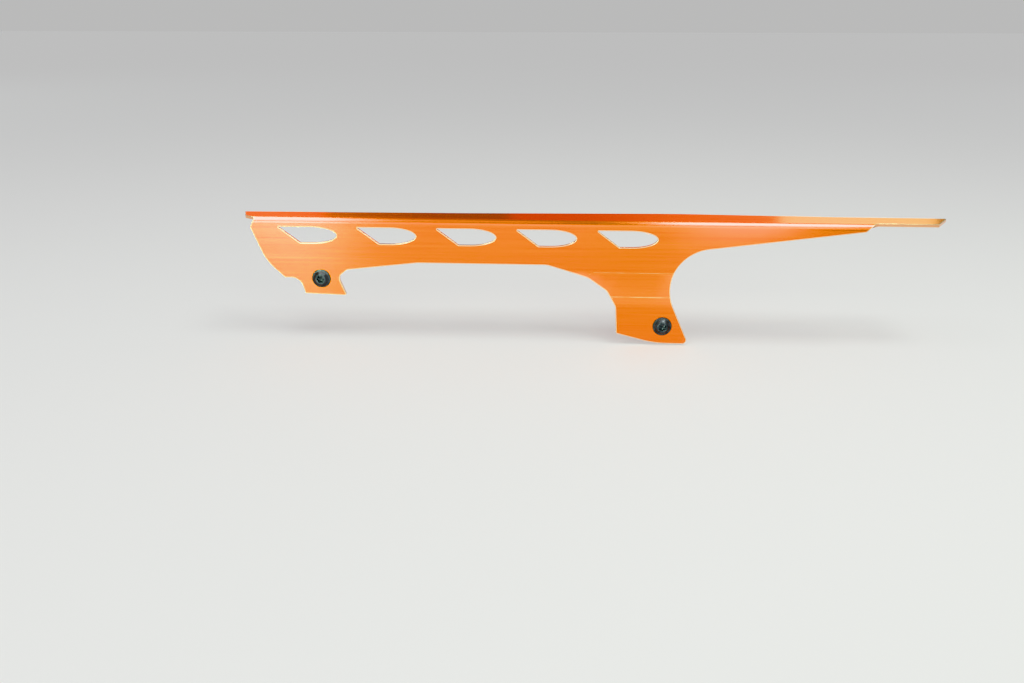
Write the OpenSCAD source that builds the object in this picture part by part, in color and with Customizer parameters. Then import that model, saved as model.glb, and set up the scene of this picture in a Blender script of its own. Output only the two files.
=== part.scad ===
// Motorcycle chain guard: one folded aluminium sheet and the two screws that hold it.
// X runs from the nose to the tail, Y from the outer face inwards and Z upwards.
// The origin is on the front screw's axis, in the inner face of the front tab.

/* [Sheet] */
// Thickness of the sheet
sheet = 2; // [1:0.5:3]
// Inner radius of the top fold
fold_r = 1.5; // [1:0.5:3]

/* [Side plate] */
// Height of the flange's top face above the front screw
flange_top = 39; // [38.5:0.5:45]
// Distance of the nose in front of the front screw
nose_reach = 43; // [41:0.5:48]
// Height of the nose above the front screw
nose_z = 32.8; // [28:0.1:33.4]
// Forward distance of the cheek's corner, where the nose edge turns towards the heel
cheek_reach = 34.6; // [33:0.1:36]
// Height of the cheek's corner above the front screw
cheek_z = 10.9; // [9:0.1:13]
// Radius of the cheek's corner
cheek_r = 30; // [5:1:32]
// Distance of the heel in front of the front screw
heel_reach = 23.5; // [21:0.5:25]
// Height of the heel above the front screw
heel_z = 0.2; // [-1:0.1:1.5]
// Height of the level lower edge between the tabs
belly_z = 10.9; // [9:0.1:16]
// Distance behind the front screw at which that level edge starts
belly_start = 62; // [50:1:70]
// Radius of the bend where it starts
belly_start_r = 20; // [5:1:30]
// Radius of the bend where it ends
belly_end_r = 15; // [5:1:20]
// Distance of the tail's lower corner behind the front screw
tail_reach = 336.5; // [320:0.5:345]
// Height of the tail's lower corner above the front screw
tail_z = 34.4; // [33:0.1:35]
// Radius of the small corners of the side plate
corner_r = 0.8; // [0.3:0.1:1]
// Radius of the nose and of the tail's lower corner
nose_r = 1; // [0.5:0.1:1.5]
// Radius of the heel
heel_r = 2; // [0.5:0.1:3]

/* [Front tab] */
// Reach of the front tab's lower corner in front of its screw
front_tab_fore = 11; // [9:0.1:12]
// Reach of the front tab's lower corner behind its screw
front_tab_aft = 15.6; // [14:0.1:18]
// Depth of the front tab below its screw, at its front corner
front_tab_drop = 10.2; // [8.5:0.1:14]
// Lean of the front tab's front edge
front_tab_lean = 2.8; // [1:0.1:3.5]
// Extra depth of the front tab at its rear corner
front_tab_slant = 0.8; // [0:0.1:1.5]
// Radius of the sweep in front of the front tab
front_sweep_r = 7.5; // [2:0.5:9]
// Distance of the front tab's waist behind its screw
waist_aft = 11; // [9:0.1:12]
// Height of the waist above the screw
waist_z = 1.1; // [0:0.1:2]
// Radius of the waist
waist_r = 4; // [1:0.5:5]
// Distance of the brow, above the waist, behind the screw
brow_aft = 16.9; // [16:0.1:20]
// Height of the brow above the screw
brow_z = 5.8; // [5:0.1:7]
// Radius of the brow
brow_r = 1.5; // [0.5:0.1:3]

/* [Rear tab] */
// Distance of the rear screw behind the front screw
rear_screw_x = 217; // [205:0.5:235]
// Depth of the rear screw below the front screw
rear_screw_drop = 26.6; // [24:0.1:34]
// Reach of the rear tab's front edge in front of its screw
rear_tab_fore = 28.8; // [27:0.1:33]
// Reach of the rear tab's rear corner behind its screw
rear_tab_aft = 17.2; // [14:0.1:20]
// Depth of the rear tab below its screw
rear_tab_drop = 11.6; // [9:0.1:16]
// Height of the rear tab's front corner above its foot
rear_tab_rise = 6.2; // [4:0.1:8]
// Distance in front of the screw at which the foot's slope ends
foot_fore = 4.3; // [2:0.1:8]
// Radius of the bend in the foot
foot_r = 60; // [20:5:60]
// Radius of the rear tab's rear corner
rear_corner_r = 2.5; // [1:0.1:4]
// Distance in front of the rear tab at which its ramp starts
ramp_fore = 44.6; // [40:0.1:48]
// Distance of the ramp's first corner in front of the rear tab
ramp_first_fore = 18.8; // [17:0.1:22]
// Depth of the ramp's first corner below the level edge
ramp_first_drop = 7.6; // [6:0.1:9]
// Distance of the ramp's second corner in front of the rear tab
ramp_second_fore = 6.9; // [5:0.1:8]
// Depth of the ramp's second corner below the level edge
ramp_second_drop = 15.5; // [14:0.1:17]
// Distance of the ramp's third corner in front of the rear tab
ramp_third_fore = 1.2; // [0.2:0.1:2]
// Depth of the ramp's third corner below the level edge
ramp_third_drop = 25.2; // [24:0.1:27]
// Radius of the ramp's first corner
ramp_first_r = 12; // [3:1:14]
// Radius of the ramp's other two corners
ramp_r = 5; // [2:0.5:8]
// Distance in front of the screw at which the throat's two sides would meet
throat_fore = 8.5; // [7:0.1:10]
// Depth below the tail's corner at which they would meet
throat_drop = 16.7; // [15:0.1:18]
// Radius of the throat behind the rear tab
throat_r = 26; // [15:1:28]
// Step of the rear tab towards the outside
step = 4; // [2:0.5:6]
// Height of the step's upper bend above the front screw
step_top = 6.8; // [5:0.1:8]
// Depth of the step's lower bend below the front screw
step_drop = 13.4; // [12:0.1:14]
// Inner radius of the step's upper bend, which is pressed sharp
step_top_r = 1.5; // [1:0.5:4]
// Inner radius of the step's lower bend, which is soft
step_low_r = 20; // [4:1:22]

/* [Windows] */
// Number of windows
window_count = 5; // [1:1:5]
// Distance from one window to the next
window_pitch = 50; // [42:0.5:51]
// Distance of the first window's tip in front of the front screw
window_lead = 25.6; // [20:0.1:28]
// Height of the windows' middle above the front screw
window_z = 28; // [24:0.1:29]
// Height of each window
window_h = 10.2; // [6:0.1:12]
// Length of each window
window_len = 37.1; // [32:0.1:38]
// Length of the window's rounded end
window_nose = 16.5; // [5:0.5:18]
// Length of the window's slanted end
window_rake = 13.8; // [4:0.1:15]
// Radius of each window's tip
window_tip_r = 0.3; // [0.2:0.1:0.5]
// Radius of each window's lower corner
window_heel_r = 0.6; // [0.2:0.1:1]

/* [Flange] */
// Reach of the flange's front corner in front of the front screw
flange_fore = 51.3; // [48.5:0.1:60]
// Setback of the flange's front edge from that corner to its chamfer
flange_chamfer_back = 4.1; // [1:0.1:4.5]
// Distance of the chamfer's end from the outer face
flange_chamfer_y = 5.8; // [5.6:0.1:8]
// Distance of the flange's far edge from the outer face, at the front
flange_front = 17; // [12:0.5:22]
// Distance of the far edge from the outer face, over the middle windows
flange_mid = 20.2; // [16:0.1:24]
// Distance of that place behind the front screw
flange_mid_x = 90; // [70:1:110]
// Distance of the far edge from the outer face, at its widest over the rear tab
flange_wide = 26.4; // [20:0.1:30]
// Distance of that place behind the front screw
flange_wide_x = 225; // [200:1:240]
// Distance of the far edge from the outer face, along the tail
flange_tail = 22; // [16:0.5:26]
// Distance behind the front screw at which the tail's straight edge starts
flange_tail_x = 325; // [300:1:340]
// Radius of the bends in the far edge
flange_r = 300; // [50:10:400]
// Radius of the corner between the chamfer and the front edge
chamfer_r = 1; // [0.5:0.1:2]
// Reach of the flange's rear corner behind the front screw
flange_aft = 392; // [375:0.5:400]
// Setback of the tail's near corner from the rear corner
flange_rake = 11.2; // [2:0.1:14]
// Width of flat flange left in front of the tail's near edge
tail_lip = 1.5; // [0.5:0.1:3]
// Radius of the corner where the lip meets the fold
lip_r = 0.5; // [0.2:0.1:1]

/* [Screws] */
// Diameter of the screws' threads
screw_d = 5; // [4:0.5:6]
// Length of the screws under the head
screw_len = 12; // [8:0.5:20]
// Clearance between screw and hole, all round
hole_clear = 0.25; // [0.1:0.05:0.5]
// Diameter of the head's flange
head_d = 12; // [11:0.1:14]
// Height of the head
head_h = 2.9; // [2.5:0.1:4]
// Thickness of the head's flange at its rim
rim_h = 0.9; // [0.5:0.1:1.2]
// Width of the socket across its lobes
socket_d = 4.5; // [4:0.1:5]
// Depth of the socket
socket_deep = 1.9; // [1:0.1:2.2]

/* [Hidden] */
$fn = 96;

// Largest turn of one chord on a rounded corner, in degrees
arc_step = 5;
// How far a cutting solid runs past what it cuts
over = 1;

outer_r = fold_r + sheet;
fold_z = flange_top - outer_r;

// The edge above the nose leans back by this share of its height
nose_lean = 0.55;
nose_top_x = -nose_reach + nose_lean * (fold_z - nose_z);
tail_top_x = tail_reach + fold_z - tail_z;

rear_screw_z = -rear_screw_drop;
rear_tab_x = rear_screw_x - rear_tab_fore;
rear_tab_z = rear_screw_z - rear_tab_drop;

step_turn = atan2(step, step_top + step_drop);
step_start_z = step_top + (step_top_r + sheet) * tan(step_turn / 2) + 0.5;
// The step's solids and cuts start here, between the two tabs
between_x = (front_tab_aft + rear_tab_x) / 2;

// The notch at the front of the fold is deepest at the middle of the fold
notch_turn = 45;
notch_x = nose_top_x + nose_lean * outer_r * notch_turn * PI / 180;
flange_near_x = -flange_fore + flange_chamfer_back;
flange_near_y = flange_chamfer_y - sheet;
notch_run = outer_r * (90 - notch_turn) * PI / 180 + flange_near_y - fold_r;
notch_slope = (flange_near_x - notch_x) / notch_run;

hole_r = screw_d / 2 + hole_clear;
// The thread runs out into a thinner neck, which lies in the sheet
neck_r = screw_d / 2 * 0.9;
tip_chamfer = 0.6;
// Turn of the rear screw's socket, as it was left when tightened
rear_screw_turn = 25;

// Side view of the plate and its two tabs: each corner is [x, z, radius]
plate_corners = [
    [nose_top_x, fold_z, 0],
    [-nose_reach, nose_z, nose_r],
    [-cheek_reach, cheek_z, cheek_r],
    [-heel_reach, heel_z, heel_r],
    [-front_tab_fore - front_tab_lean, heel_z, front_sweep_r],
    [-front_tab_fore, -front_tab_drop, corner_r],
    [front_tab_aft, -front_tab_drop - front_tab_slant, corner_r],
    [waist_aft, waist_z, waist_r],
    [brow_aft, brow_z, brow_r],
    [belly_start, belly_z, belly_start_r],
    [rear_tab_x - ramp_fore, belly_z, belly_end_r],
    [rear_tab_x - ramp_first_fore, belly_z - ramp_first_drop, ramp_first_r],
    [rear_tab_x - ramp_second_fore, belly_z - ramp_second_drop, ramp_r],
    [rear_tab_x - ramp_third_fore, belly_z - ramp_third_drop, ramp_r],
    [rear_tab_x, rear_tab_z + rear_tab_rise, corner_r],
    [rear_screw_x - foot_fore, rear_tab_z, foot_r],
    [rear_screw_x + rear_tab_aft, rear_tab_z, rear_corner_r],
    [rear_screw_x - throat_fore, tail_z - throat_drop, throat_r],
    [tail_reach, tail_z, nose_r],
    [tail_top_x, fold_z, 0]
];

// Plan of the flat flange: each corner is [x, y, radius]
flange_corners = [
    [front_x(90), fold_r, 0],
    [flange_near_x, flange_near_y, chamfer_r],
    [-flange_fore, flange_front - sheet, corner_r],
    [flange_mid_x, flange_mid - sheet, flange_r],
    [flange_wide_x, flange_wide - sheet, flange_r],
    [flange_tail_x, flange_tail - sheet, flange_r],
    [flange_aft, flange_tail - sheet, corner_r],
    [flange_aft - flange_rake, fold_r + tail_lip, corner_r],
    [rear_x(90) + tail_lip, fold_r + tail_lip, lip_r],
    [rear_x(90), fold_r, 0]
];

// Front and rear edge of the fold, at a turn from 0 on the plate to 90 on the flange
function front_x(turn) =
    turn < notch_turn
    ? nose_top_x + nose_lean * outer_r * turn * PI / 180
    : notch_x + notch_slope * outer_r * (turn - notch_turn) * PI / 180;
function rear_x(turn) = tail_top_x + outer_r * turn * PI / 180;

function unit(v) = v / norm(v);
function flat(corner) = [corner[0], corner[1]];

// Points of the arc that rounds the corner b between a and c
function corner_arc(a, b, c, r) =
    let (
        u = unit(a - b),
        v = unit(c - b),
        half = acos(u * v) / 2,
        centre = b + unit(u + v) * r / sin(half),
        from = b + u * r / tan(half) - centre,
        turn = (180 - 2 * half) * sign(cross(v, u)),
        steps = max(2, ceil(abs(turn) / arc_step)),
        start = atan2(from[1], from[0])
    )
    [for (i = [0:steps]) centre + r * [cos(start + turn * i / steps), sin(start + turn * i / steps)]];

// Outline through corners given as [x, y, radius], with every radius above 0 rounded
function rounded(corners) =
    let (n = len(corners))
    [
        for (i = [0:n - 1])
            let (
                a = flat(corners[(i + n - 1) % n]),
                b = flat(corners[i]),
                c = flat(corners[(i + 1) % n]),
                r = corners[i][2]
            )
            each (r > 0 ? corner_arc(a, b, c, r) : [b])
    ];

// Turns a drawing in X and Z into a solid from y0 to y1
module across(y0, y1) {
    translate([0, y1, 0]) rotate([90, 0, 0]) linear_extrude(y1 - y0) children();
}

// Turns a drawing in Y and Z into a solid from x0 to x1
module along(x0, x1) {
    translate([x0, 0, 0]) rotate([90, 0, 90]) linear_extrude(x1 - x0) children();
}

module plate_outline() {
    polygon(rounded(plate_corners));
}

// Field below the start of the step, around the rear tab only
module rear_tab_field() {
    translate([between_x, rear_tab_z - over])
        square([rear_screw_x + throat_r - between_x, step_start_z - rear_tab_z + over]);
}

module flat_plate() {
    across(-sheet, 0) difference() {
        plate_outline();
        rear_tab_field();
    }
}

// Section of the rear tab in Y and Z: straight, slanted outwards, straight again
module step_section() {
    back_shift = sheet * tan(step_turn / 2);
    polygon(rounded([
        [-sheet, step_start_z, 0],
        [-sheet, step_top, step_top_r],
        [-step - sheet, -step_drop, step_low_r + sheet],
        [-step - sheet, rear_tab_z - over, 0],
        [-step, rear_tab_z - over, 0],
        [-step, -step_drop - back_shift, step_low_r],
        [0, step_top - back_shift, step_top_r + sheet],
        [0, step_start_z, 0]
    ]));
}

module stepped_tab() {
    intersection() {
        along(between_x, rear_screw_x + throat_r) step_section();
        across(-step - sheet - over, over) intersection() {
            plate_outline();
            rear_tab_field();
        }
    }
}

// Solid that trims one end of the fold square to the sheet, beyond the edge x = ends[i]
module fold_trim(turns, ends, far_x) {
    n = len(turns);
    low = fold_r / 2;
    high = outer_r + over;
    points = [
        for (i = [0:n - 1], q = [[ends[i], low], [ends[i], high], [far_x, high], [far_x, low]])
            [q[0], fold_r - q[1] * cos(turns[i]), fold_z + q[1] * sin(turns[i])]
    ];
    skin = [
        for (i = [0:n - 2], k = [0:3])
            let (a = 4 * i + k, b = 4 * i + (k + 1) % 4)
            each [[a, b, b + 4], [a, b + 4, a + 4]]
    ];
    caps = [[3, 2, 1], [3, 1, 0], [4 * n - 4, 4 * n - 3, 4 * n - 2], [4 * n - 4, 4 * n - 2, 4 * n - 1]];
    faces = concat(skin, caps);
    flipped = [for (f = faces) [f[2], f[1], f[0]]];
    polyhedron(points, far_x < ends[0] ? faces : flipped);
}

module fold() {
    turns = [for (a = [-4:4:96]) a];
    difference() {
        translate([0, fold_r, fold_z]) along(-flange_fore, flange_aft) intersection() {
            difference() {
                circle(outer_r);
                circle(fold_r);
            }
            translate([-outer_r, 0]) square(outer_r);
        }
        fold_trim(turns, [for (a = turns) front_x(a)], -flange_fore - over);
        fold_trim(turns, [for (a = turns) rear_x(a)], flange_aft + over);
    }
}

module flange() {
    translate([0, 0, flange_top - sheet]) linear_extrude(sheet) polygon(rounded(flange_corners));
}

// One window: sharp tip in front, slanted lower edge, and half an ellipse behind
module window() {
    h = window_h / 2;
    straight = window_len - window_nose;
    polygon(rounded([
        [0, h, window_tip_r],
        for (a = [90:-arc_step:-90]) [straight + window_nose * cos(a), h * sin(a), 0],
        [window_rake, -h, window_heel_r]
    ]));
}

module screw_hole(x, z) {
    translate([x, -step - sheet - over, z]) rotate([-90, 0, 0])
        cylinder(h = step + sheet + 2 * over, r = hole_r);
}

module guard() {
    color([0.93, 0.42, 0.09]) difference() {
        union() {
            flat_plate();
            stepped_tab();
            fold();
            flange();
        }
        for (i = [0:window_count - 1])
            across(-sheet - over, over) translate([i * window_pitch - window_lead, window_z]) window();
        screw_hole(0, 0);
        screw_hole(rear_screw_x, rear_screw_z);
    }
}

// Six lobes, left where six round flutes bite into a disc
module socket_shape() {
    flute_r = socket_d * 0.22;
    difference() {
        circle(socket_d / 2);
        for (i = [0:5]) rotate(60 * i + 30) translate([socket_d * 0.582, 0]) circle(flute_r);
    }
}

// Half section of the head: flat seat, thin rim, then a low dome with a flat crown
module head_section() {
    r = head_d / 2;
    dome_r = r - 1.3;
    polygon(rounded([
        [0, 0, 0],
        [r, 0, 0.1],
        [r, -rim_h / 2, 0.2],
        [dome_r, -rim_h, 0.4],
        [dome_r - 1, rim_h / 4 - head_h, 1.6],
        [socket_d / 2 + 0.2, -head_h, 0.6],
        [0, -head_h, 0]
    ]));
}

// The screw along +Z, seated at z = 0
module screw() {
    color([0.13, 0.14, 0.15]) difference() {
        union() {
            rotate_extrude() head_section();
            cylinder(h = sheet, r = neck_r);
            translate([0, 0, sheet]) cylinder(h = screw_len - sheet - tip_chamfer, r = screw_d / 2);
            translate([0, 0, screw_len - tip_chamfer])
                cylinder(h = tip_chamfer, r1 = screw_d / 2, r2 = screw_d / 2 - tip_chamfer);
        }
        translate([0, 0, -head_h - over]) linear_extrude(socket_deep + over) socket_shape();
    }
}

module front_screw() {
    translate([0, -sheet, 0]) rotate([-90, 0, 0]) screw();
}

module rear_screw() {
    translate([rear_screw_x, -step - sheet, rear_screw_z]) rotate([-90, rear_screw_turn, 0]) screw();
}

guard();
front_screw();
rear_screw();
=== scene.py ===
"""Motorcycle chain guard: an orange anodised sheet, folded once and stepped once, and two screws.

Lengths are in millimetres and become metres when a mesh is made; the studio is set in metres.
"""
import math
import bpy
import numpy as np
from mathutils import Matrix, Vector
from mathutils.geometry import delaunay_2d_cdt


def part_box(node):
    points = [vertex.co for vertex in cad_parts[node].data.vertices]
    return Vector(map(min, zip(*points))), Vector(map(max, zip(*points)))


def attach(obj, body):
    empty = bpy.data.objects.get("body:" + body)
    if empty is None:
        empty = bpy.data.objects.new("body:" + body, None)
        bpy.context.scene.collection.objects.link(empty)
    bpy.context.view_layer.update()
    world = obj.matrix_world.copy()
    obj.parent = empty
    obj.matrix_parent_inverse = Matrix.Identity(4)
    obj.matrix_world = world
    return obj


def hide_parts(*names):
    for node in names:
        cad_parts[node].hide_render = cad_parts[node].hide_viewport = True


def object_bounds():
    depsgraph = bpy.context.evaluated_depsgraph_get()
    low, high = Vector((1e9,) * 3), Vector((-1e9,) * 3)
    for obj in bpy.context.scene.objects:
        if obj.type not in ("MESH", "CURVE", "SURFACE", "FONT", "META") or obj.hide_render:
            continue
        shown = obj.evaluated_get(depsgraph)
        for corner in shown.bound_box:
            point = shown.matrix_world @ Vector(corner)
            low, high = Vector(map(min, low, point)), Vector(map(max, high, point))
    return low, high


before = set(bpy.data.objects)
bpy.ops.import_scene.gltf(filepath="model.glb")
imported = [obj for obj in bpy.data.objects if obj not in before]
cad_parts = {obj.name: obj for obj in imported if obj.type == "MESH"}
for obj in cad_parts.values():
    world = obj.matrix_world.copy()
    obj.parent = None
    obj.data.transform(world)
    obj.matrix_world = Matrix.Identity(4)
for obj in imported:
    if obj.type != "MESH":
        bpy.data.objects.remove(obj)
cad_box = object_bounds()

MM = 0.001

# The sheet: its thickness, its top fold and the step of its rear tab, which goes outwards
SHEET = 2.0
FOLD_R = 1.5
OUTER_R = FOLD_R + SHEET
FLANGE_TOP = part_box("guard")[1][2] / MM
FOLD_Z = FLANGE_TOP - OUTER_R
FOLD_END = FOLD_Z + OUTER_R * math.pi / 2
STEP = 4.0
STEP_TOP = 6.8
STEP_LOW = -13.4
STEP_TOP_R = 1.5
STEP_LOW_R = 20.0

# How far up and down the step's section is drawn, past the sheet itself
STEP_REACH = 60

# Places along X: before the front end, and between the tabs, where the rear tab's section begins
BEFORE_FRONT = -60.0
BETWEEN_TABS = 101.9

# Longest side of the outline, of a window's outline and of a line across the face, the number of
# lines along the fold, and the degrees between the points of an arc
OUTLINE_SIDE = 6
WINDOW_SIDE = 3
LINE_SIDE = 10
FOLD_LINES = 16
ARC_STEP = 4

# Broken edges: the radius of the round, and how far in from the outline the pale rim fades out; the
# rim is partly bare deburred metal and mostly a painted highlight of the round
EDGE_R = 0.3
EDGE_HIGHLIGHT_FROM = 0.45
EDGE_HIGHLIGHT_TO = 0.72

# Pale lines on the rear tab along its bends: press marks, with a painted sheen of the bends; start
# [x, z], end, half width and strength;
# then the length over which an end fades, and the share of the half width that is fully marked
PRESS_MARKS_AND_SHEEN = [
    ((171.5, 6.7), (232.0, 6.7), 0.42, 0.7),
    ((180.0, -8.1), (232.0, -8.1), 0.45, 1.0),
    ((168.8, 4.6), (172.3, 6.6), 0.35, 0.8),
]
MARK_FADE = 2.0
MARK_CORE = 0.2

# Noise scales of the brush lines along X, Y and Z, of the slow patches and of the marks' breaks
BRUSH = (10, 1150, 1150)
BRUSH_PATCH = 18.0
MARK_BREAKS = 140.0

# Millimetres of the flat sheet that one unit of its UV map spans
UV_SPAN = 400.0

# Linear colours of the dyed sheet, of its press marks with a painted sheen of the bends, and of its
# edges, which are partly bare deburred metal and mostly a painted highlight
ORANGE_LOW = (0.87, 0.175, 0.005)
ORANGE_HIGH = (0.99, 0.272, 0.012)
ORANGE_WARM = (0.96, 0.25, 0.013)
# Pale line colour: press marks, brightened as a painted sheen of the step's bends
PALE_MARK = (1.0, 0.56, 0.26)
# Pale rim colour: partly bare deburred metal, mostly a painted highlight where the rounded edge
# catches the light
BARE_EDGE_AND_HIGHLIGHT = (1.0, 0.76, 0.50)

# Linear colours and grain scales of the screws
STEEL_LOW = (0.05, 0.059, 0.066)
STEEL_HIGH = (0.118, 0.138, 0.156)
STEEL_GRAIN = (1600, 1600, 1600)
STEEL_PATCH = 420.0

# Camera: its place, its turns about X, Y and Z in degrees, its lens and its sensor's width
EYE = (149.2, -519.0, 151.1)
EYE_TURN = (69.703, -0.109, 3.069)
LENS = 29.973
SENSOR = 36.0

# Floor: half its width in metres, its linear colour and its glow
FLOOR_HALF = 30.0
FLOOR_GREY = (0.36, 0.36, 0.358)
FLOOR_GLOW = 0.45

# Sky: linear colours in front and behind, overhead and at the sides, and as the camera sees it
SKY_DIM = (0.05, 0.05, 0.05)
SKY_BRIGHT = (0.4, 0.4, 0.4)
SKY_SEEN = (0.53, 0.53, 0.528)

# Studio lights in rows along X: name, place and width in metres, radiance and linear colour
WHITE = (1.0, 1.0, 1.0)
WARM = (1.0, 0.05, 0.005)
GREENISH = (0.8, 1.0, 0.74)
OVERHEAD = [
    ("overhead_front", -0.33, 0.3, 4.0, WHITE),
    ("overhead_mid", 0.0, 0.3, 0.6, WHITE),
    ("overhead_tail", 0.51, 0.32, 10.0, (0.95, 1.0, 0.92)),
]
SHINE = [
    ("shine_front", -0.37, 0.26, 36.0, GREENISH),
    ("shine_tail", 0.51, 0.34, 30.0, GREENISH),
]
SLOPE = [
    ("slope_front", -0.37, 0.26, 18.0, GREENISH),
]
LOW_FRONT = [
    ("low_nose", -0.6, 0.45, 1.4, WHITE),
    ("low_front", -0.3, 0.15, 29.0, (0.66, 1.0, 0.62)),
    ("low_mid", 0.0, 0.45, 2.2, WHITE),
    ("low_tab", 0.3, 0.15, 1.5, GREENISH),
    ("low_tail", 0.45, 0.15, 3.4, WHITE),
]
HIGH_FRONT = [
    ("high_nose", -0.36, 0.26, 1.5, WHITE),
    ("high_mid", -0.1, 0.9, 1.4, WHITE),
    ("high_tail", 0.5, 0.3, 4.6, GREENISH),
    ("high_end", 0.8, 0.3, 1.1, WHITE),
]
CARDS = [
    ("card_front", -0.6, 0.5, 0.95, WARM),
    ("card_mid", -0.15, 0.4, 0.2, WARM),
    ("card_rear", 0.325, 0.59, 0.75, WARM),
    ("card_tail", 0.78, 0.32, 2.6, (0.85, 1.0, 0.5)),
]
CARD_HIGH = [
    ("card_high", 0.1, 1.4, 0.6, WARM),
]
SIDES = [
    ("side_front", -2.4),
    ("side_tail", 2.7),
]
SIDE_LIGHT = (0.88, 1.0, 1.0)

# Windows, with the radii of the sharp tip and of the heel below it
WINDOW_COUNT = 5
WINDOW_PITCH = 50.0
WINDOW_LEAD = 25.6
WINDOW_Z = 28.0
WINDOW_H = 10.2
WINDOW_LEN = 37.1
WINDOW_NOSE = 16.5
WINDOW_RAKE = 13.8
WINDOW_TIP_R = 0.3
WINDOW_HEEL_R = 0.6

# Screws: where the rear one sits, and their parts
REAR_SCREW_X = 217.0
REAR_SCREW_Z = -26.6
SCREW_D = 5.0
SCREW_LEN = 12.0
PITCH = 0.8
HOLE_CLEAR = 0.25
HEAD_D = 12.0
HEAD_H = 2.9
RIM_H = 0.9
SOCKET_D = 4.5
SOCKET_DEEP = 1.9
SOCKET_FLOOR = SOCKET_DEEP - HEAD_H
LOBE_PLACE = 0.582
LOBE_R = 0.22
NECK_D = 5.2
TIP_D = 3.4

# The socket's rings as [share of its outline, height], from the middle of its floor to its mouth
SOCKET_RINGS = [
    (0.0, SOCKET_FLOOR + 0.35),
    (0.45, SOCKET_FLOOR + 0.12),
    (0.9, SOCKET_FLOOR),
    (0.97, SOCKET_FLOOR - 0.08),
    (1.0, SOCKET_FLOOR - 0.2),
    (1.0, -HEAD_H + 0.2),
    (1.02, -HEAD_H + 0.08),
    (1.06, -HEAD_H),
]

# The head's profile as [radius, height, radius of the round], from its crown to the sheet
HEAD_PROFILE = [
    [2.9, -HEAD_H, 0],
    [3.3, -HEAD_H, 0.8],
    [4.75, -1.15, 1.2],
    [4.9, -RIM_H, 0.15],
    [5.75, -0.8, 0.35],
    [HEAD_D / 2, -0.4, 0.2],
    [HEAD_D / 2, 0, 0.12],
    [5.6, 0, 0],
]

# The thread: rings to a turn, points round the screw, depth, slope and flat of a ridge, the length
# in the hole, the fades at the hole and at the tip, and how much thinner the ends are
THREAD_RINGS = 16
COLUMNS = 144
THREAD_DEEP = 0.55 * PITCH
RIDGE_SLOPE = 2.6
RIDGE_FLAT = 0.12
THREAD_IN_HOLE = 0.3
HOLE_FADE = 0.5
TIP_FADE = 0.6
END_DROP = 0.12


def flange_v(y):
    """Developed height of a place on the flange: the fold's end, and the rest of y beyond it."""
    return FOLD_END + y - FOLD_R


# The sheet laid flat: corners as [x, developed height, radius], with the sheet on the left
REAR_TAB_X = 188.2
REAR_TAB_Z = -38.2
NOTCH_V = FOLD_Z + OUTER_R * math.pi / 4
FLAT_CORNERS = [
    [-43.0, 32.8, 1.0],
    [-34.6, 10.9, 30.0],
    [-23.5, 0.2, 2.0],
    [-13.8, 0.2, 7.5],
    [-11.0, -10.2, 0.8],
    [15.6, -11.0, 0.8],
    [11.0, 1.1, 4.0],
    [16.9, 5.8, 1.5],
    [62.0, 10.9, 20.0],
    [REAR_TAB_X - 44.6, 10.9, 15.0],
    [REAR_TAB_X - 18.8, 3.3, 12.0],
    [REAR_TAB_X - 6.9, -4.6, 5.0],
    [REAR_TAB_X - 1.2, -14.3, 5.0],
    [REAR_TAB_X, REAR_TAB_Z + 6.2, 0.8],
    [REAR_SCREW_X - 4.3, REAR_TAB_Z, 60.0],
    [REAR_SCREW_X + 17.2, REAR_TAB_Z, 2.5],
    [REAR_SCREW_X - 8.5, 17.7, 26.0],
    [336.5, 34.4, 1.0],
    [344.6, flange_v(3.0), 0.8],
    [380.8, flange_v(3.0), 0.8],
    [392.0, flange_v(20.0), 0.8],
    [325.0, flange_v(20.0), 300.0],
    [225.0, flange_v(24.4), 300.0],
    [90.0, flange_v(18.2), 300.0],
    [-51.3, flange_v(15.0), 0.8],
    [-47.2, flange_v(3.8), 1.0],
    [-41.5 + 0.55 * (NOTCH_V - FOLD_Z), NOTCH_V, 0.5],
]


def unit(v):
    """A direction: the vector over its length."""
    return v / np.linalg.norm(v, axis=-1, keepdims=True)


def corner_arc(before, corner, after, radius, step):
    """Points of the arc that touches both sides of a corner.

    Each is the centre plus the start vector, turned by even angles.
    """
    u, v = unit(before - corner), unit(after - corner)
    half = math.acos(u @ v) / 2
    centre = corner + unit(u + v) * radius / math.sin(half)
    start = corner + u * radius / math.tan(half) - centre
    turn = (math.pi - 2 * half) * np.sign(v[0] * u[1] - v[1] * u[0])
    count = max(2, math.ceil(abs(turn) / math.radians(step)))
    a = np.linspace(0, turn, count + 1)[:, None]
    return centre + start * np.cos(a) + np.array([-start[1], start[0]]) * np.sin(a)


def rounded(corners, step=ARC_STEP):
    """Outline through corners [x, y, radius]: each corner with a radius becomes its arc."""
    c = np.array(corners, float)
    parts = []
    for k in range(len(c)):
        if c[k, 2] == 0:
            parts.append(c[k:k + 1, :2])
        else:
            after = c[(k + 1) % len(c), :2]
            parts.append(corner_arc(c[k - 1, :2], c[k, :2], after, c[k, 2], step))
    return np.vstack(parts)


def along_path(points, u):
    """Points at the path numbers u: number i + t lies t of the way from point i to the next."""
    closed = np.vstack([points, points[:1]])
    n = np.arange(len(closed))
    return np.stack([np.interp(u, n, closed[:, 0]), np.interp(u, n, closed[:, 1])], axis=1)


def subdivided(points, longest):
    """Same closed outline, with each side cut into equal parts no longer than the given length."""
    side = np.linalg.norm(np.roll(points, -1, axis=0) - points, axis=1)
    cuts = np.maximum(1, np.ceil(side / longest)).astype(int)
    start = np.repeat(np.arange(len(points)), cuts)
    within = np.arange(cuts.sum()) - np.repeat(np.cumsum(cuts) - cuts, cuts)
    return along_path(points, start + within / np.repeat(cuts, cuts))


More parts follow.
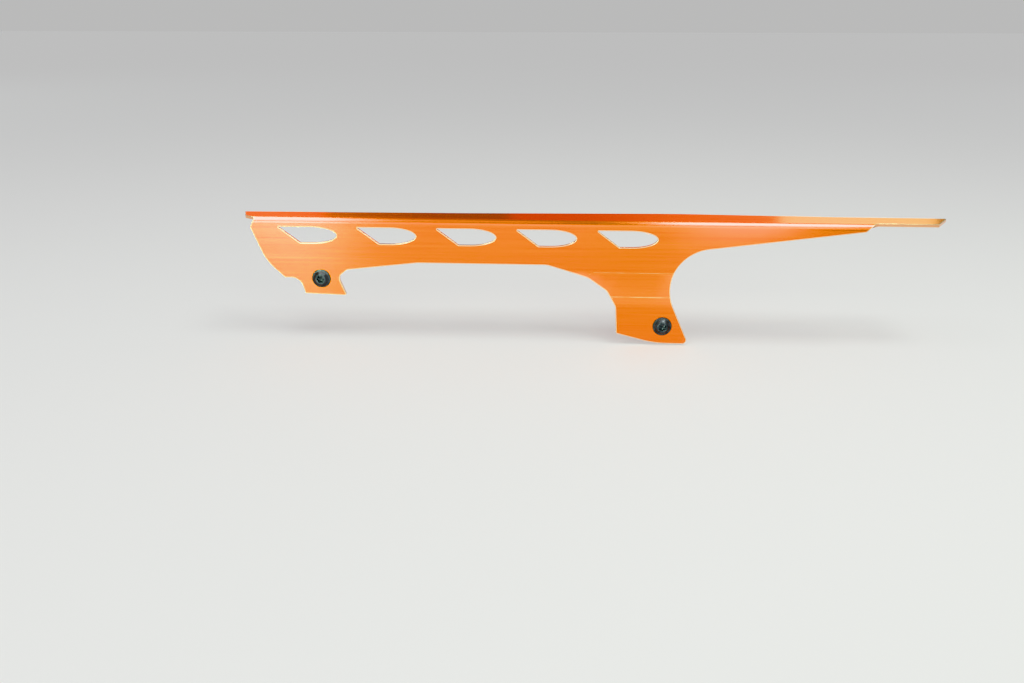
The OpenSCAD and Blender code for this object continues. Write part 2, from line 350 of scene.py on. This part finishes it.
def with_crossings(points, levels):
    """Adds a point wherever the outline crosses a level, and pairs the first and last of each.

    A level is a height and the x beyond which it counts. A crossing lies at the share of its side
    that the level's height is of the side's rise.
    """
    after = np.roll(points, -1, axis=0)
    found = []
    for level, from_x in levels:
        rise = after[:, 1] - points[:, 1]
        t = (level - points[:, 1]) / np.where(rise == 0, 1e-9, rise)
        x = points[:, 0] + t * (after[:, 0] - points[:, 0])
        i = np.nonzero((t >= 0) & (t < 1) & (x > from_x))[0]
        found.append((i + t[i])[np.argsort(x[i])])
    u = np.unique(np.concatenate([np.arange(len(points)), *found]))
    pairs = [[int(np.searchsorted(u, f[0])), int(np.searchsorted(u, f[-1]))] for f in found]
    return along_path(points, u), pairs


def inward(points):
    """Unit offset at each point: the sum of both sides' left normals over 1 plus their dot product.

    So a shift by it keeps its distance from both sides.
    """
    side = unit(np.roll(points, -1, axis=0) - points)
    left = np.stack([-side[:, 1], side[:, 0]], axis=1)
    before = np.roll(left, 1, axis=0)
    return (left + before) / (1 + (left * before).sum(axis=1, keepdims=True))


def step_line(degrees):
    """Outer face of the rear tab as [depth, height], from its foot up: plumb, slanted, plumb."""
    corners = [
        [-SHEET, STEP_REACH, 0],
        [-SHEET, STEP_TOP, STEP_TOP_R],
        [-STEP - SHEET, STEP_LOW, STEP_LOW_R + SHEET],
        [-STEP - SHEET, -STEP_REACH, 0],
    ]
    return rounded(corners, degrees)[::-1]


def step_section():
    """Height, depth and tilt along the rear tab's outer face, the tilt being the line's slope."""
    line = step_line(1.0)
    tilt = np.arctan(np.gradient(line[:, 0], line[:, 1]))
    return line[:, 1], line[:, 0], tilt


def section(x, v):
    """Place and tilt of the outer face at developed height v: plate, round fold, level flange.

    The tilt is 0 on the plate and a quarter turn on the flange, and grows evenly over the fold,
    where the place is a circle's; the rear tab has its own line's depth and tilt.
    """
    turn = np.clip((v - FOLD_Z) / OUTER_R, 0, math.pi / 2)
    y = FOLD_R - OUTER_R * np.cos(turn) + np.maximum(v - FOLD_END, 0)
    z = np.minimum(v, FOLD_Z) + OUTER_R * np.sin(turn)
    heights, depths, tilts = step_section()
    tab = (x > BETWEEN_TABS) & (v < FOLD_Z)
    y = np.where(tab, np.interp(v, heights, depths), y)
    return y, z, np.where(tab, np.interp(v, heights, tilts), turn)


def on_sheet(flat, depth):
    """Point at a depth below the outer face: the face's point, less the depth along its normal."""
    x, v = flat[:, 0], flat[:, 1]
    y, z, tilt = section(x, v)
    return np.stack([x, y + depth * np.cos(tilt), z - depth * np.sin(tilt)], axis=1)


def face_normal(flat):
    """Normal of the outer face: outwards by the tilt's cosine, and up by its sine."""
    tilt = section(flat[:, 0], flat[:, 1])[2]
    return np.stack([0 * tilt, -np.cos(tilt), np.sin(tilt)], axis=1)


def in_plane(flat, direction):
    """A direction of the flat sheet on the folded one: its rise is turned inwards by the tilt."""
    tilt = section(flat[:, 0], flat[:, 1])[2]
    rise = direction[:, 1]
    return np.stack([direction[:, 0], rise * np.sin(tilt), rise * np.cos(tilt)], axis=1)


def window(k):
    """One window in the flat: sharp tip in front, slanted lower edge, half an ellipse behind."""
    h = WINDOW_H / 2
    straight = WINDOW_LEN - WINDOW_NOSE
    a = np.radians(np.arange(-90, 91, ARC_STEP))
    nose = np.stack([straight + WINDOW_NOSE * np.cos(a), h * np.sin(a)], axis=1)
    top, low = np.array([0, h]), np.array([WINDOW_RAKE, -h])
    tip = corner_arc(nose[-1], top, low, WINDOW_TIP_R, 20)
    heel = corner_arc(top, low, nose[0], WINDOW_HEEL_R, 8)
    points = np.vstack([nose, tip, heel])[::-1]
    return subdivided(points, WINDOW_SIDE) + [k * WINDOW_PITCH - WINDOW_LEAD, WINDOW_Z]


def screw_hole(x, z):
    """A circle round the screw's place, wider than the screw by the clearance all round."""
    a = np.linspace(0, -2 * math.pi, 64, endpoint=False)
    r = SCREW_D / 2 + HOLE_CLEAR
    return np.stack([x + r * np.cos(a), z + r * np.sin(a)], axis=1)


def inside(loop, p):
    """Whether each point p lies inside a closed outline, by counting the sides to its right."""
    a, b = loop[:, None], np.roll(loop, -1, axis=0)[:, None]
    spans = (a[..., 1] > p[:, 1]) != (b[..., 1] > p[:, 1])
    rise = np.where(b[..., 1] == a[..., 1], 1e-12, b[..., 1] - a[..., 1])
    cross = a[..., 0] + (p[:, 1] - a[..., 1]) / rise * (b[..., 0] - a[..., 0])
    return (spans & (cross > p[:, 0])).sum(axis=0) % 2 == 1


def triangulated(loops, lines):
    """Triangles of the flat face between its loops, with every given line kept as edges.

    A line is the numbers of its two ends, with new points put evenly between them. The answer is
    all points, and the triangles whose middle lies inside the outline and outside every opening.
    """
    points = np.vstack(loops)
    first = np.cumsum([0] + [len(loop) for loop in loops])
    edges = []
    for loop, f in zip(loops, first):
        n = np.arange(len(loop))
        edges.append(np.stack([f + n, f + np.roll(n, -1)], axis=1))
    for start, end in lines:
        cuts = max(1, int(np.linalg.norm(points[end] - points[start]) / LINE_SIDE))
        t = np.linspace(0, 1, cuts + 1)[1:-1, None]
        between = points[start] + t * (points[end] - points[start])
        chain = np.concatenate([[start], len(points) + np.arange(len(between)), [end]])
        edges.append(np.stack([chain[:-1], chain[1:]], axis=1))
        points = np.vstack([points, between])
    edges = np.vstack(edges).astype(int)
    out = delaunay_2d_cdt([Vector(p) for p in points.tolist()], edges.tolist(), [], 0, 1e-5)
    origin = np.array([o[0] for o in out[3]])
    faces = origin[np.array([list(f) for f in out[2]])]
    middle = points[faces].mean(axis=1)
    keep = inside(loops[0], middle)
    for loop in loops[1:]:
        keep &= ~inside(loop, middle)
    return points, faces[keep]


def edge_rings():
    """Inset, depth, tilt and painted edge highlight of each ring of a broken edge, from the outer
    face to the inner.

    The round is a quarter circle of the edge's radius, and the inner face mirrors the outer one.
    """
    a = np.radians([0, 22.5, 45, 67.5, 90])
    inset = EDGE_R * (1 - np.sin(a))
    depth = EDGE_R * (1 - np.cos(a))
    flat = np.array([[EDGE_HIGHLIGHT_TO, 0, 0, 0], [EDGE_HIGHLIGHT_FROM, 0, 0, 0.8]])
    outer = np.vstack([flat, np.stack([inset, depth, a, [1, 1, 1, 1, 0.6]], axis=1)])
    inner = outer[::-1] * [1, -1, -1, 1] + [0, SHEET, math.pi, 0]
    return np.vstack([outer, inner])


def mesh_object(name, points, faces, normals, material, edge_shine=None, flat=None):
    """A closed mesh from points in millimetres, with its normals, painted edge highlight and flat
    where given.
    """
    mesh = bpy.data.meshes.new(name)
    mesh.from_pydata((points * MM).tolist(), [], [f.tolist() for part in faces for f in part])
    mesh.polygons.foreach_set("use_smooth", np.ones(len(mesh.polygons), bool))
    if edge_shine is not None:
        highlighted = mesh.attributes.new("edge_highlight", "FLOAT", "POINT")
        highlighted.data.foreach_set("value", edge_shine.astype(np.float32))
    if flat is not None:
        corner = np.empty(len(mesh.loops), int)
        mesh.loops.foreach_get("vertex_index", corner)
        layer = mesh.uv_layers.new(name="flat")
        layer.uv.foreach_set("vector", (flat[corner] / UV_SPAN).ravel())
    mesh.materials.append(material)
    if normals is not None:
        mesh.normals_split_custom_set_from_vertices(unit(normals).tolist())
    mesh.update()
    piece = bpy.data.objects.new(name, mesh)
    bpy.context.scene.collection.objects.link(piece)
    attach(piece, "root")
    return piece


def folded_guard(material):
    """The whole sheet: both faces over one flat triangulation, joined by a broken edge all round.

    Each point is a place in the flat sheet and a depth, carried onto the folded sheet.
    """
    fold_levels = FOLD_Z + OUTER_R * np.radians(np.linspace(0, 90, FOLD_LINES))
    step_levels = step_line(ARC_STEP)[1:-1, 1]
    levels = [(v, BEFORE_FRONT) for v in fold_levels] + [(v, BETWEEN_TABS) for v in step_levels]
    outline, lines = with_crossings(subdivided(rounded(FLAT_CORNERS), OUTLINE_SIDE), levels)
    loops = [outline] + [window(k) for k in range(WINDOW_COUNT)]
    loops += [screw_hole(0, 0), screw_hole(REAR_SCREW_X, REAR_SCREW_Z)]

    rings = edge_rings()
    inner_loops = [loop + rings[0, 0] * inward(loop) for loop in loops]
    flat, tris = triangulated(inner_loops, lines)
    outer, inner = on_sheet(flat, 0.0), on_sheet(flat, SHEET)
    points = [outer, inner]
    normals = [face_normal(flat), -face_normal(flat)]
    edge_shine = [np.zeros(len(flat)), np.zeros(len(flat))]
    laid = [flat, flat]
    faces = [tris, tris[:, ::-1] + len(flat)]
    total = 2 * len(flat)
    first = 0
    for loop in loops:
        n = len(loop)
        to_sheet = inward(loop)
        here = np.arange(n)
        numbers = [first + here]
        for inset, depth, tilt, highlighted in rings[1:-1]:
            place = loop + inset * to_sheet
            points.append(on_sheet(place, depth))
            outward = in_plane(place, -unit(to_sheet))
            normals.append(math.cos(tilt) * face_normal(place) + math.sin(tilt) * outward)
            edge_shine.append(np.full(n, highlighted))
            laid.append(place - depth * unit(to_sheet))
            numbers.append(total + here)
            total += n
        numbers.append(len(flat) + first + here)
        for near, far in zip(numbers[:-1], numbers[1:]):
            faces.append(np.stack([far, np.roll(far, -1), np.roll(near, -1), near], axis=1))
        first += n
    piece = mesh_object("folded_guard", np.vstack(points), faces, np.vstack(normals),
                        material, np.concatenate(edge_shine), np.vstack(laid))
    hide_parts("guard")
    return piece


def socket_radius(a):
    """Radius of the six-lobed socket at angle a: a circle, bitten into by six round flutes.

    A flute of radius f whose centre lies c out is met at c cos b - sqrt(f^2 - c^2 sin^2 b), where
    b is the angle from its middle.
    """
    centre, flute = LOBE_PLACE * SOCKET_D, LOBE_R * SOCKET_D
    b = (a + math.radians(60)) % math.radians(60) - math.radians(30)
    room = flute ** 2 - (centre * np.sin(b)) ** 2
    bitten = centre * np.cos(b) - np.sqrt(np.maximum(room, 0))
    return np.minimum(SOCKET_D / 2, np.where(room > 0, bitten, SOCKET_D / 2))


def screw_rings():
    """Radius and height of every ring of the screw, from the socket's floor to the thread's tip.

    The socket's rings are shares of its outline, and the head's and the neck's are circles. The
    thread's radius is a ridge, whose phase is height over pitch plus angle over a full turn.
    """
    a = np.linspace(0, 2 * math.pi, COLUMNS, endpoint=False)
    lobes = socket_radius(a)
    one = np.ones(COLUMNS)
    thin = SCREW_D / 2 * 0.9
    neck = [(NECK_D / 2, 0), (thin, 0.15), (thin, SHEET - THREAD_IN_HOLE)]
    r = [share * lobes for share, height in SOCKET_RINGS]
    z = [height * one for share, height in SOCKET_RINGS]
    for radius, height in [*rounded(HEAD_PROFILE, 12), *neck]:
        r.append(radius * one)
        z.append(height * one)
    for height in np.arange(SHEET - 0.25, SCREW_LEN, PITCH / THREAD_RINGS):
        phase = (height / PITCH + a / (2 * math.pi)) % 1
        ridge = np.clip(RIDGE_SLOPE * np.abs(phase - 0.5) - RIDGE_FLAT, 0, 1)
        from_hole = (height - SHEET + THREAD_IN_HOLE) / HOLE_FADE
        ends = np.clip(min(from_hole, (SCREW_LEN - height) / TIP_FADE), 0, 1)
        crest = THREAD_DEEP * (1 - ridge) * ends
        r.append(SCREW_D / 2 - THREAD_DEEP + crest - END_DROP * (1 - ends))
        z.append(height * one)
    for radius in (TIP_D / 2, 0):
        r.append(radius * one)
        z.append(SCREW_LEN * one)
    return a, np.array(r), np.array(z)


def screw(name, x, y, z, spin, material):
    """A flanged button-head screw: one skin of rings round its axis, closed at both its ends."""
    a, r, h = screw_rings()
    turned = a + spin
    grid = np.stack([x + r * np.cos(turned), y + h, z + r * np.sin(turned)], axis=2)
    rows = len(r)
    points = np.vstack([grid[:1, 0], grid[1:-1].reshape(-1, 3), grid[-1:, 0]])
    number = 1 + np.arange((rows - 2) * COLUMNS).reshape(rows - 2, COLUMNS)
    near, far = number[:-1], number[1:]
    quads = np.stack([near, np.roll(near, -1, axis=1), np.roll(far, -1, axis=1), far], axis=2)
    quads = quads.reshape(-1, 4)
    last = len(points) - 1
    start = np.stack([0 * number[0], np.roll(number[0], -1), number[0]], axis=1)
    end = np.stack([0 * number[0] + last, number[-1], np.roll(number[-1], -1)], axis=1)
    piece = mesh_object(name + "_steel", points, [quads, start, end], None, material)
    piece.data.set_sharp_from_angle(angle=math.radians(50))
    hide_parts(name)
    return piece


def add_node(nodes, kind, **values):
    """A shader node with its settings and the default values of its named inputs."""
    node = nodes.new(kind)
    for key, value in values.items():
        if key in node.inputs:
            node.inputs[key].default_value = value
        else:
            setattr(node, key, value)
    return node


def link(tree, source, output, target, socket):
    """Joins one node's output to another's input."""
    tree.links.new(source.outputs[output], target.inputs[socket])


def new_material(name):
    """A material with a Principled shader of its own."""
    material = bpy.data.materials.new(name)
    material.use_nodes = True
    tree = material.node_tree
    tree.nodes.clear()
    shader = tree.nodes.new("ShaderNodeBsdfPrincipled")
    output = tree.nodes.new("ShaderNodeOutputMaterial")
    link(tree, shader, "BSDF", output, "Surface")
    return material, tree, shader


def grain_group():
    """Fine grain: noise stretched by three scales as lines, and unstretched noise as patches."""
    group = bpy.data.node_groups.new("fine grain", "ShaderNodeTree")
    group.interface.new_socket("Stretch", in_out="INPUT", socket_type="NodeSocketVector")
    group.interface.new_socket("Patch size", in_out="INPUT", socket_type="NodeSocketFloat")
    group.interface.new_socket("Lines", in_out="OUTPUT", socket_type="NodeSocketFloat")
    group.interface.new_socket("Patches", in_out="OUTPUT", socket_type="NodeSocketFloat")
    nodes = group.nodes
    enter = nodes.new("NodeGroupInput")
    leave = nodes.new("NodeGroupOutput")
    place = nodes.new("ShaderNodeTexCoord")
    stretch = add_node(nodes, "ShaderNodeMapping")
    lines = add_node(nodes, "ShaderNodeTexNoise", Scale=1.0, Detail=4.0, Roughness=0.6)
    patches = add_node(nodes, "ShaderNodeTexNoise", Detail=3.0, Roughness=0.5)
    link(group, place, "Object", stretch, "Vector")
    link(group, enter, "Stretch", stretch, "Scale")
    link(group, stretch, "Vector", lines, "Vector")
    link(group, place, "Object", patches, "Vector")
    link(group, enter, "Patch size", patches, "Scale")
    link(group, lines, "Fac", leave, "Lines")
    link(group, patches, "Fac", leave, "Patches")
    return group


def placed_group(tree, group, stretch, patch):
    """The grain in one material, with its own scales."""
    node = tree.nodes.new("ShaderNodeGroup")
    node.node_tree = group
    node.inputs["Stretch"].default_value = stretch
    node.inputs["Patch size"].default_value = patch
    return node


def colour_mix(tree, factor, factor_out, low, high):
    """Mix of two colours, each a fixed colour or another node's Result, by a node's output."""
    mix = add_node(tree.nodes, "ShaderNodeMix", data_type="RGBA")
    tree.links.new(factor.outputs[factor_out], mix.inputs[0])
    for socket, value in ((6, low), (7, high)):
        if isinstance(value, tuple):
            mix.inputs[socket].default_value = (*value, 1)
        else:
            tree.links.new(value.outputs[2], mix.inputs[socket])
    return mix


def ranged(tree, source, output, low, high, to_low, to_high):
    """Map Range: turns low..high of a node's output into to_low..to_high, and holds it beyond."""
    node = tree.nodes.new("ShaderNodeMapRange")
    tree.links.new(source.outputs[output], node.inputs["Value"])
    values = {"From Min": low, "From Max": high, "To Min": to_low, "To Max": to_high}
    for key, value in values.items():
        node.inputs[key].default_value = value
    return node


def math_node(tree, operation, first, first_out, second, second_out=0):
    """A Math node of two outputs, or of one output and a number."""
    node = add_node(tree.nodes, "ShaderNodeMath", operation=operation)
    tree.links.new(first.outputs[first_out], node.inputs[0])
    if isinstance(second, (int, float)):
        node.inputs[1].default_value = second
    else:
        tree.links.new(second.outputs[second_out], node.inputs[1])
    return node


def press_mark_and_sheen(tree, start, end, width):
    """Mask of a thin straight mark between two places [x, z]: near its line, between its ends.

    A Mapping node turns the place so that X runs along the mark and Z away from it.
    """
    run = np.subtract(end, start)
    length = float(np.linalg.norm(run))
    run = run / length
    place = tree.nodes.new("ShaderNodeTexCoord")
    turned = add_node(tree.nodes, "ShaderNodeMapping", vector_type="TEXTURE")
    turned.inputs["Location"].default_value = (start[0] * MM, 0, start[1] * MM)
    turned.inputs["Rotation"].default_value = (0, -math.atan2(run[1], run[0]), 0)
    split = tree.nodes.new("ShaderNodeSeparateXYZ")
    link(tree, place, "Object", turned, "Vector")
    link(tree, turned, "Vector", split, "Vector")
    away = math_node(tree, "ABSOLUTE", split, "Z", 0.0)
    narrow = ranged(tree, away, 0, MARK_CORE * width * MM, width * MM, 1.0, 0.0)
    begun = ranged(tree, split, "X", 0.0, MARK_FADE * MM, 0.0, 1.0)
    ended = ranged(tree, split, "X", (length - MARK_FADE) * MM, length * MM, 1.0, 0.0)
    between = math_node(tree, "MULTIPLY", begun, 0, ended)
    return math_node(tree, "MULTIPLY", narrow, 0, between)


def anodised_orange(grain):
    """Brushed sheet, dyed orange: lines along X, slow patches, a pale rim on the edges that is
    partly bare deburred metal and mostly a painted highlight, and press marks with a painted sheen
    of the bends.
    """
    material, tree, shader = new_material("anodised orange")
    brush = placed_group(tree, grain, BRUSH, BRUSH_PATCH)
    lines = ranged(tree, brush, "Lines", 0.3, 0.7, 0.0, 1.0)
    base = colour_mix(tree, lines, 0, ORANGE_LOW, ORANGE_HIGH)
    patches = ranged(tree, brush, "Patches", 0.35, 0.65, 0.0, 0.5)
    shade = colour_mix(tree, patches, 0, base, ORANGE_WARM)
    breaks = add_node(tree.nodes, "ShaderNodeTexNoise", Scale=MARK_BREAKS, Detail=2.0)
    link(tree, tree.nodes.new("ShaderNodeTexCoord"), "Object", breaks, "Vector")
    patchy = ranged(tree, breaks, "Fac", 0.35, 0.65, 0.35, 1.0)
    # Pale lines on the rear tab: press marks with a painted sheen along the step's bends
    for start, end, width, strength in PRESS_MARKS_AND_SHEEN:
        mark = math_node(tree, "MULTIPLY", press_mark_and_sheen(tree, start, end, width), 0, patchy)
        share = math_node(tree, "MULTIPLY", mark, 0, strength)
        shade = colour_mix(tree, share, 0, shade, PALE_MARK)
    # The pale rim painted along every edge: partly bare deburred metal, mostly a painted edge
    # highlight
    edge_shine = tree.nodes.new("ShaderNodeAttribute")
    edge_shine.attribute_name = "edge_highlight"
    edge_highlight = ranged(tree, edge_shine, "Fac", 0.0, 1.0, 0.0, 0.95)
    highlighted = colour_mix(tree, edge_highlight, 0, shade, BARE_EDGE_AND_HIGHLIGHT)
    link(tree, highlighted, 2, shader, "Base Color")
    rough = ranged(tree, brush, "Lines", 0.25, 0.75, 0.2, 0.27)
    link(tree, rough, 0, shader, "Roughness")
    bump = add_node(tree.nodes, "ShaderNodeBump", Strength=0.06, Distance=0.00004)
    link(tree, brush, "Lines", bump, "Height")
    link(tree, bump, "Normal", shader, "Normal")
    along = tree.nodes.new("ShaderNodeTangent")
    along.direction_type = "UV_MAP"
    along.uv_map = "flat"
    link(tree, along, "Tangent", shader, "Tangent")
    shader.inputs["Anisotropic"].default_value = 0.85
    shader.inputs["Anisotropic Rotation"].default_value = 0.25
    shader.inputs["Metallic"].default_value = 1.0
    shader.inputs["Coat Weight"].default_value = 0.18
    shader.inputs["Coat Roughness"].default_value = 0.25
    return material


def black_steel(grain):
    """Blackened screw steel: blue-grey, patchy, with a fine even grain in its gloss."""
    material, tree, shader = new_material("black steel")
    skin = placed_group(tree, grain, STEEL_GRAIN, STEEL_PATCH)
    patches = ranged(tree, skin, "Patches", 0.35, 0.65, 0.0, 1.0)
    base = colour_mix(tree, patches, 0, STEEL_LOW, STEEL_HIGH)
    link(tree, base, 2, shader, "Base Color")
    rough = ranged(tree, skin, "Lines", 0.3, 0.7, 0.32, 0.5)
    link(tree, rough, 0, shader, "Roughness")
    bump = add_node(tree.nodes, "ShaderNodeBump", Strength=0.2, Distance=0.00003)
    link(tree, skin, "Lines", bump, "Height")
    link(tree, bump, "Normal", shader, "Normal")
    shader.inputs["Metallic"].default_value = 0.9
    return material


def pale_floor():
    """Plain pale floor, just under the guard's lowest corner and far wider than the view.

    It glows like a light table, because the side plate mirrors it.
    """
    half, z = FLOOR_HALF, cad_box[0][2] - MM
    mesh = bpy.data.meshes.new("floor")
    corners = [(-half, -half, z), (half, -half, z), (half, half, z), (-half, half, z)]
    mesh.from_pydata(corners, [], [(0, 1, 2, 3)])
    material, tree, shader = new_material("pale floor")
    shader.inputs["Base Color"].default_value = (*FLOOR_GREY, 1)
    shader.inputs["Emission Color"].default_value = (1, 1, 1, 1)
    shader.inputs["Emission Strength"].default_value = FLOOR_GLOW
    shader.inputs["Roughness"].default_value = 0.8
    mesh.materials.append(material)
    floor = bpy.data.objects.new("floor", mesh)
    bpy.context.scene.collection.objects.link(floor)


def camera():
    """Camera at the photograph's place."""
    data = bpy.data.cameras.new("camera")
    data.lens = LENS
    data.sensor_width = SENSOR
    data.clip_end = 100
    eye = bpy.data.objects.new("camera", data)
    eye.location = Vector(EYE) * MM
    eye.rotation_euler = [math.radians(t) for t in EYE_TURN]
    bpy.context.scene.collection.objects.link(eye)
    bpy.context.scene.camera = eye


def area_light(name, place, aim, size, radiance, colour, lit=None):
    """Rectangular soft light at a place in metres, turned to face a point.

    Its power is radiance x area x pi. Where a collection is given, it falls on its pieces alone.
    """
    data = bpy.data.lights.new(name, "AREA")
    data.shape = "RECTANGLE"
    data.size, data.size_y = size
    data.energy = radiance * size[0] * size[1] * math.pi
    data.color = colour
    lamp = bpy.data.objects.new(name, data)
    lamp.location = place
    lamp.rotation_euler = (Vector(aim) - Vector(place)).to_track_quat("-Z", "Y").to_euler()
    lamp.light_linking.receiver_collection = lit
    bpy.context.scene.collection.objects.link(lamp)


def light_row(rows, place, aim, height, lit=None):
    """Lights side by side along X, all of one height, with the [y, z] of their place and aim."""
    for name, x, width, radiance, colour in rows:
        area_light(name, (x, *place), (x, *aim), (width, height), radiance, colour, lit)


def sky():
    """Soft studio: dim in front and behind, brighter overhead and at the sides.

    The camera itself sees a plain pale backdrop.
    """
    world = bpy.data.worlds.new("studio")
    bpy.context.scene.world = world
    world.use_nodes = True
    tree = world.node_tree
    tree.nodes.clear()
    place = tree.nodes.new("ShaderNodeTexCoord")
    split = tree.nodes.new("ShaderNodeSeparateXYZ")
    link(tree, place, "Generated", split, "Vector")
    height = ranged(tree, split, "Z", 0.5, 0.95, 0.0, 1.0)
    aside = ranged(tree, math_node(tree, "ABSOLUTE", split, "X", 0.0), 0, 0.5, 0.85, 0.0, 1.0)
    bright = math_node(tree, "MAXIMUM", height, 0, aside)
    shade = colour_mix(tree, bright, 0, SKY_DIM, SKY_BRIGHT)
    view = tree.nodes.new("ShaderNodeLightPath")
    seen = colour_mix(tree, view, "Is Camera Ray", shade, SKY_SEEN)
    back = tree.nodes.new("ShaderNodeBackground")
    link(tree, seen, 2, back, "Color")
    output = tree.nodes.new("ShaderNodeOutputWorld")
    link(tree, back, "Background", output, "Surface")


def collection(name, pieces):
    """A collection of pieces that a light can be limited to."""
    group = bpy.data.collections.new(name)
    for piece in pieces:
        group.objects.link(piece)
    return group


def lights(sheet, pieces):
    """Softboxes overhead, in front and at the sides, and cards behind that the flange mirrors.

    The lights for the sheet alone leave the screws and the floor as they are, and the low ones in
    front leave the floor.
    """
    bpy.context.scene.view_settings.view_transform = "Khronos PBR Neutral"
    light_row(OVERHEAD, place=(-0.25, 0.95), aim=(-0.15, 0.0), height=0.6)
    light_row(SHINE, place=(0.05, 0.95), aim=(0.05, 0.0), height=0.4, lit=sheet)
    light_row(SLOPE, place=(-0.5, 0.85), aim=(0.0, 0.04), height=0.5, lit=sheet)
    light_row(LOW_FRONT, place=(-0.88, 0.13), aim=(0.0, 0.13), height=0.3, lit=pieces)
    light_row(HIGH_FRONT, place=(-0.88, 0.47), aim=(0.0, 0.1), height=0.36)
    light_row(CARDS, place=(1.25, 0.42), aim=(0.0, 0.04), height=0.42, lit=sheet)
    light_row(CARD_HIGH, place=(1.0, 1.0), aim=(0.0, 0.04), height=0.45, lit=sheet)
    for name, x in SIDES:
        area_light(name, place=(x, 1.2, 0.9), aim=(0.15, 1.2, 0.0), size=(1.6, 0.8),
                   radiance=0.9, colour=SIDE_LIGHT)


def main():
    """Camera, materials, the sheet and its screws, and the studio round them."""
    camera()
    grain = grain_group()
    orange = anodised_orange(grain)
    steel = black_steel(grain)
    sheet = folded_guard(orange)
    front = screw("front_screw", 0.0, -SHEET, 0.0, 0.0, steel)
    rear = screw("rear_screw", REAR_SCREW_X, -STEP - SHEET, REAR_SCREW_Z, math.radians(25), steel)
    pale_floor()
    sky()
    lights(collection("sheet alone", [sheet]), collection("sheet and screws", [sheet, front, rear]))


main()
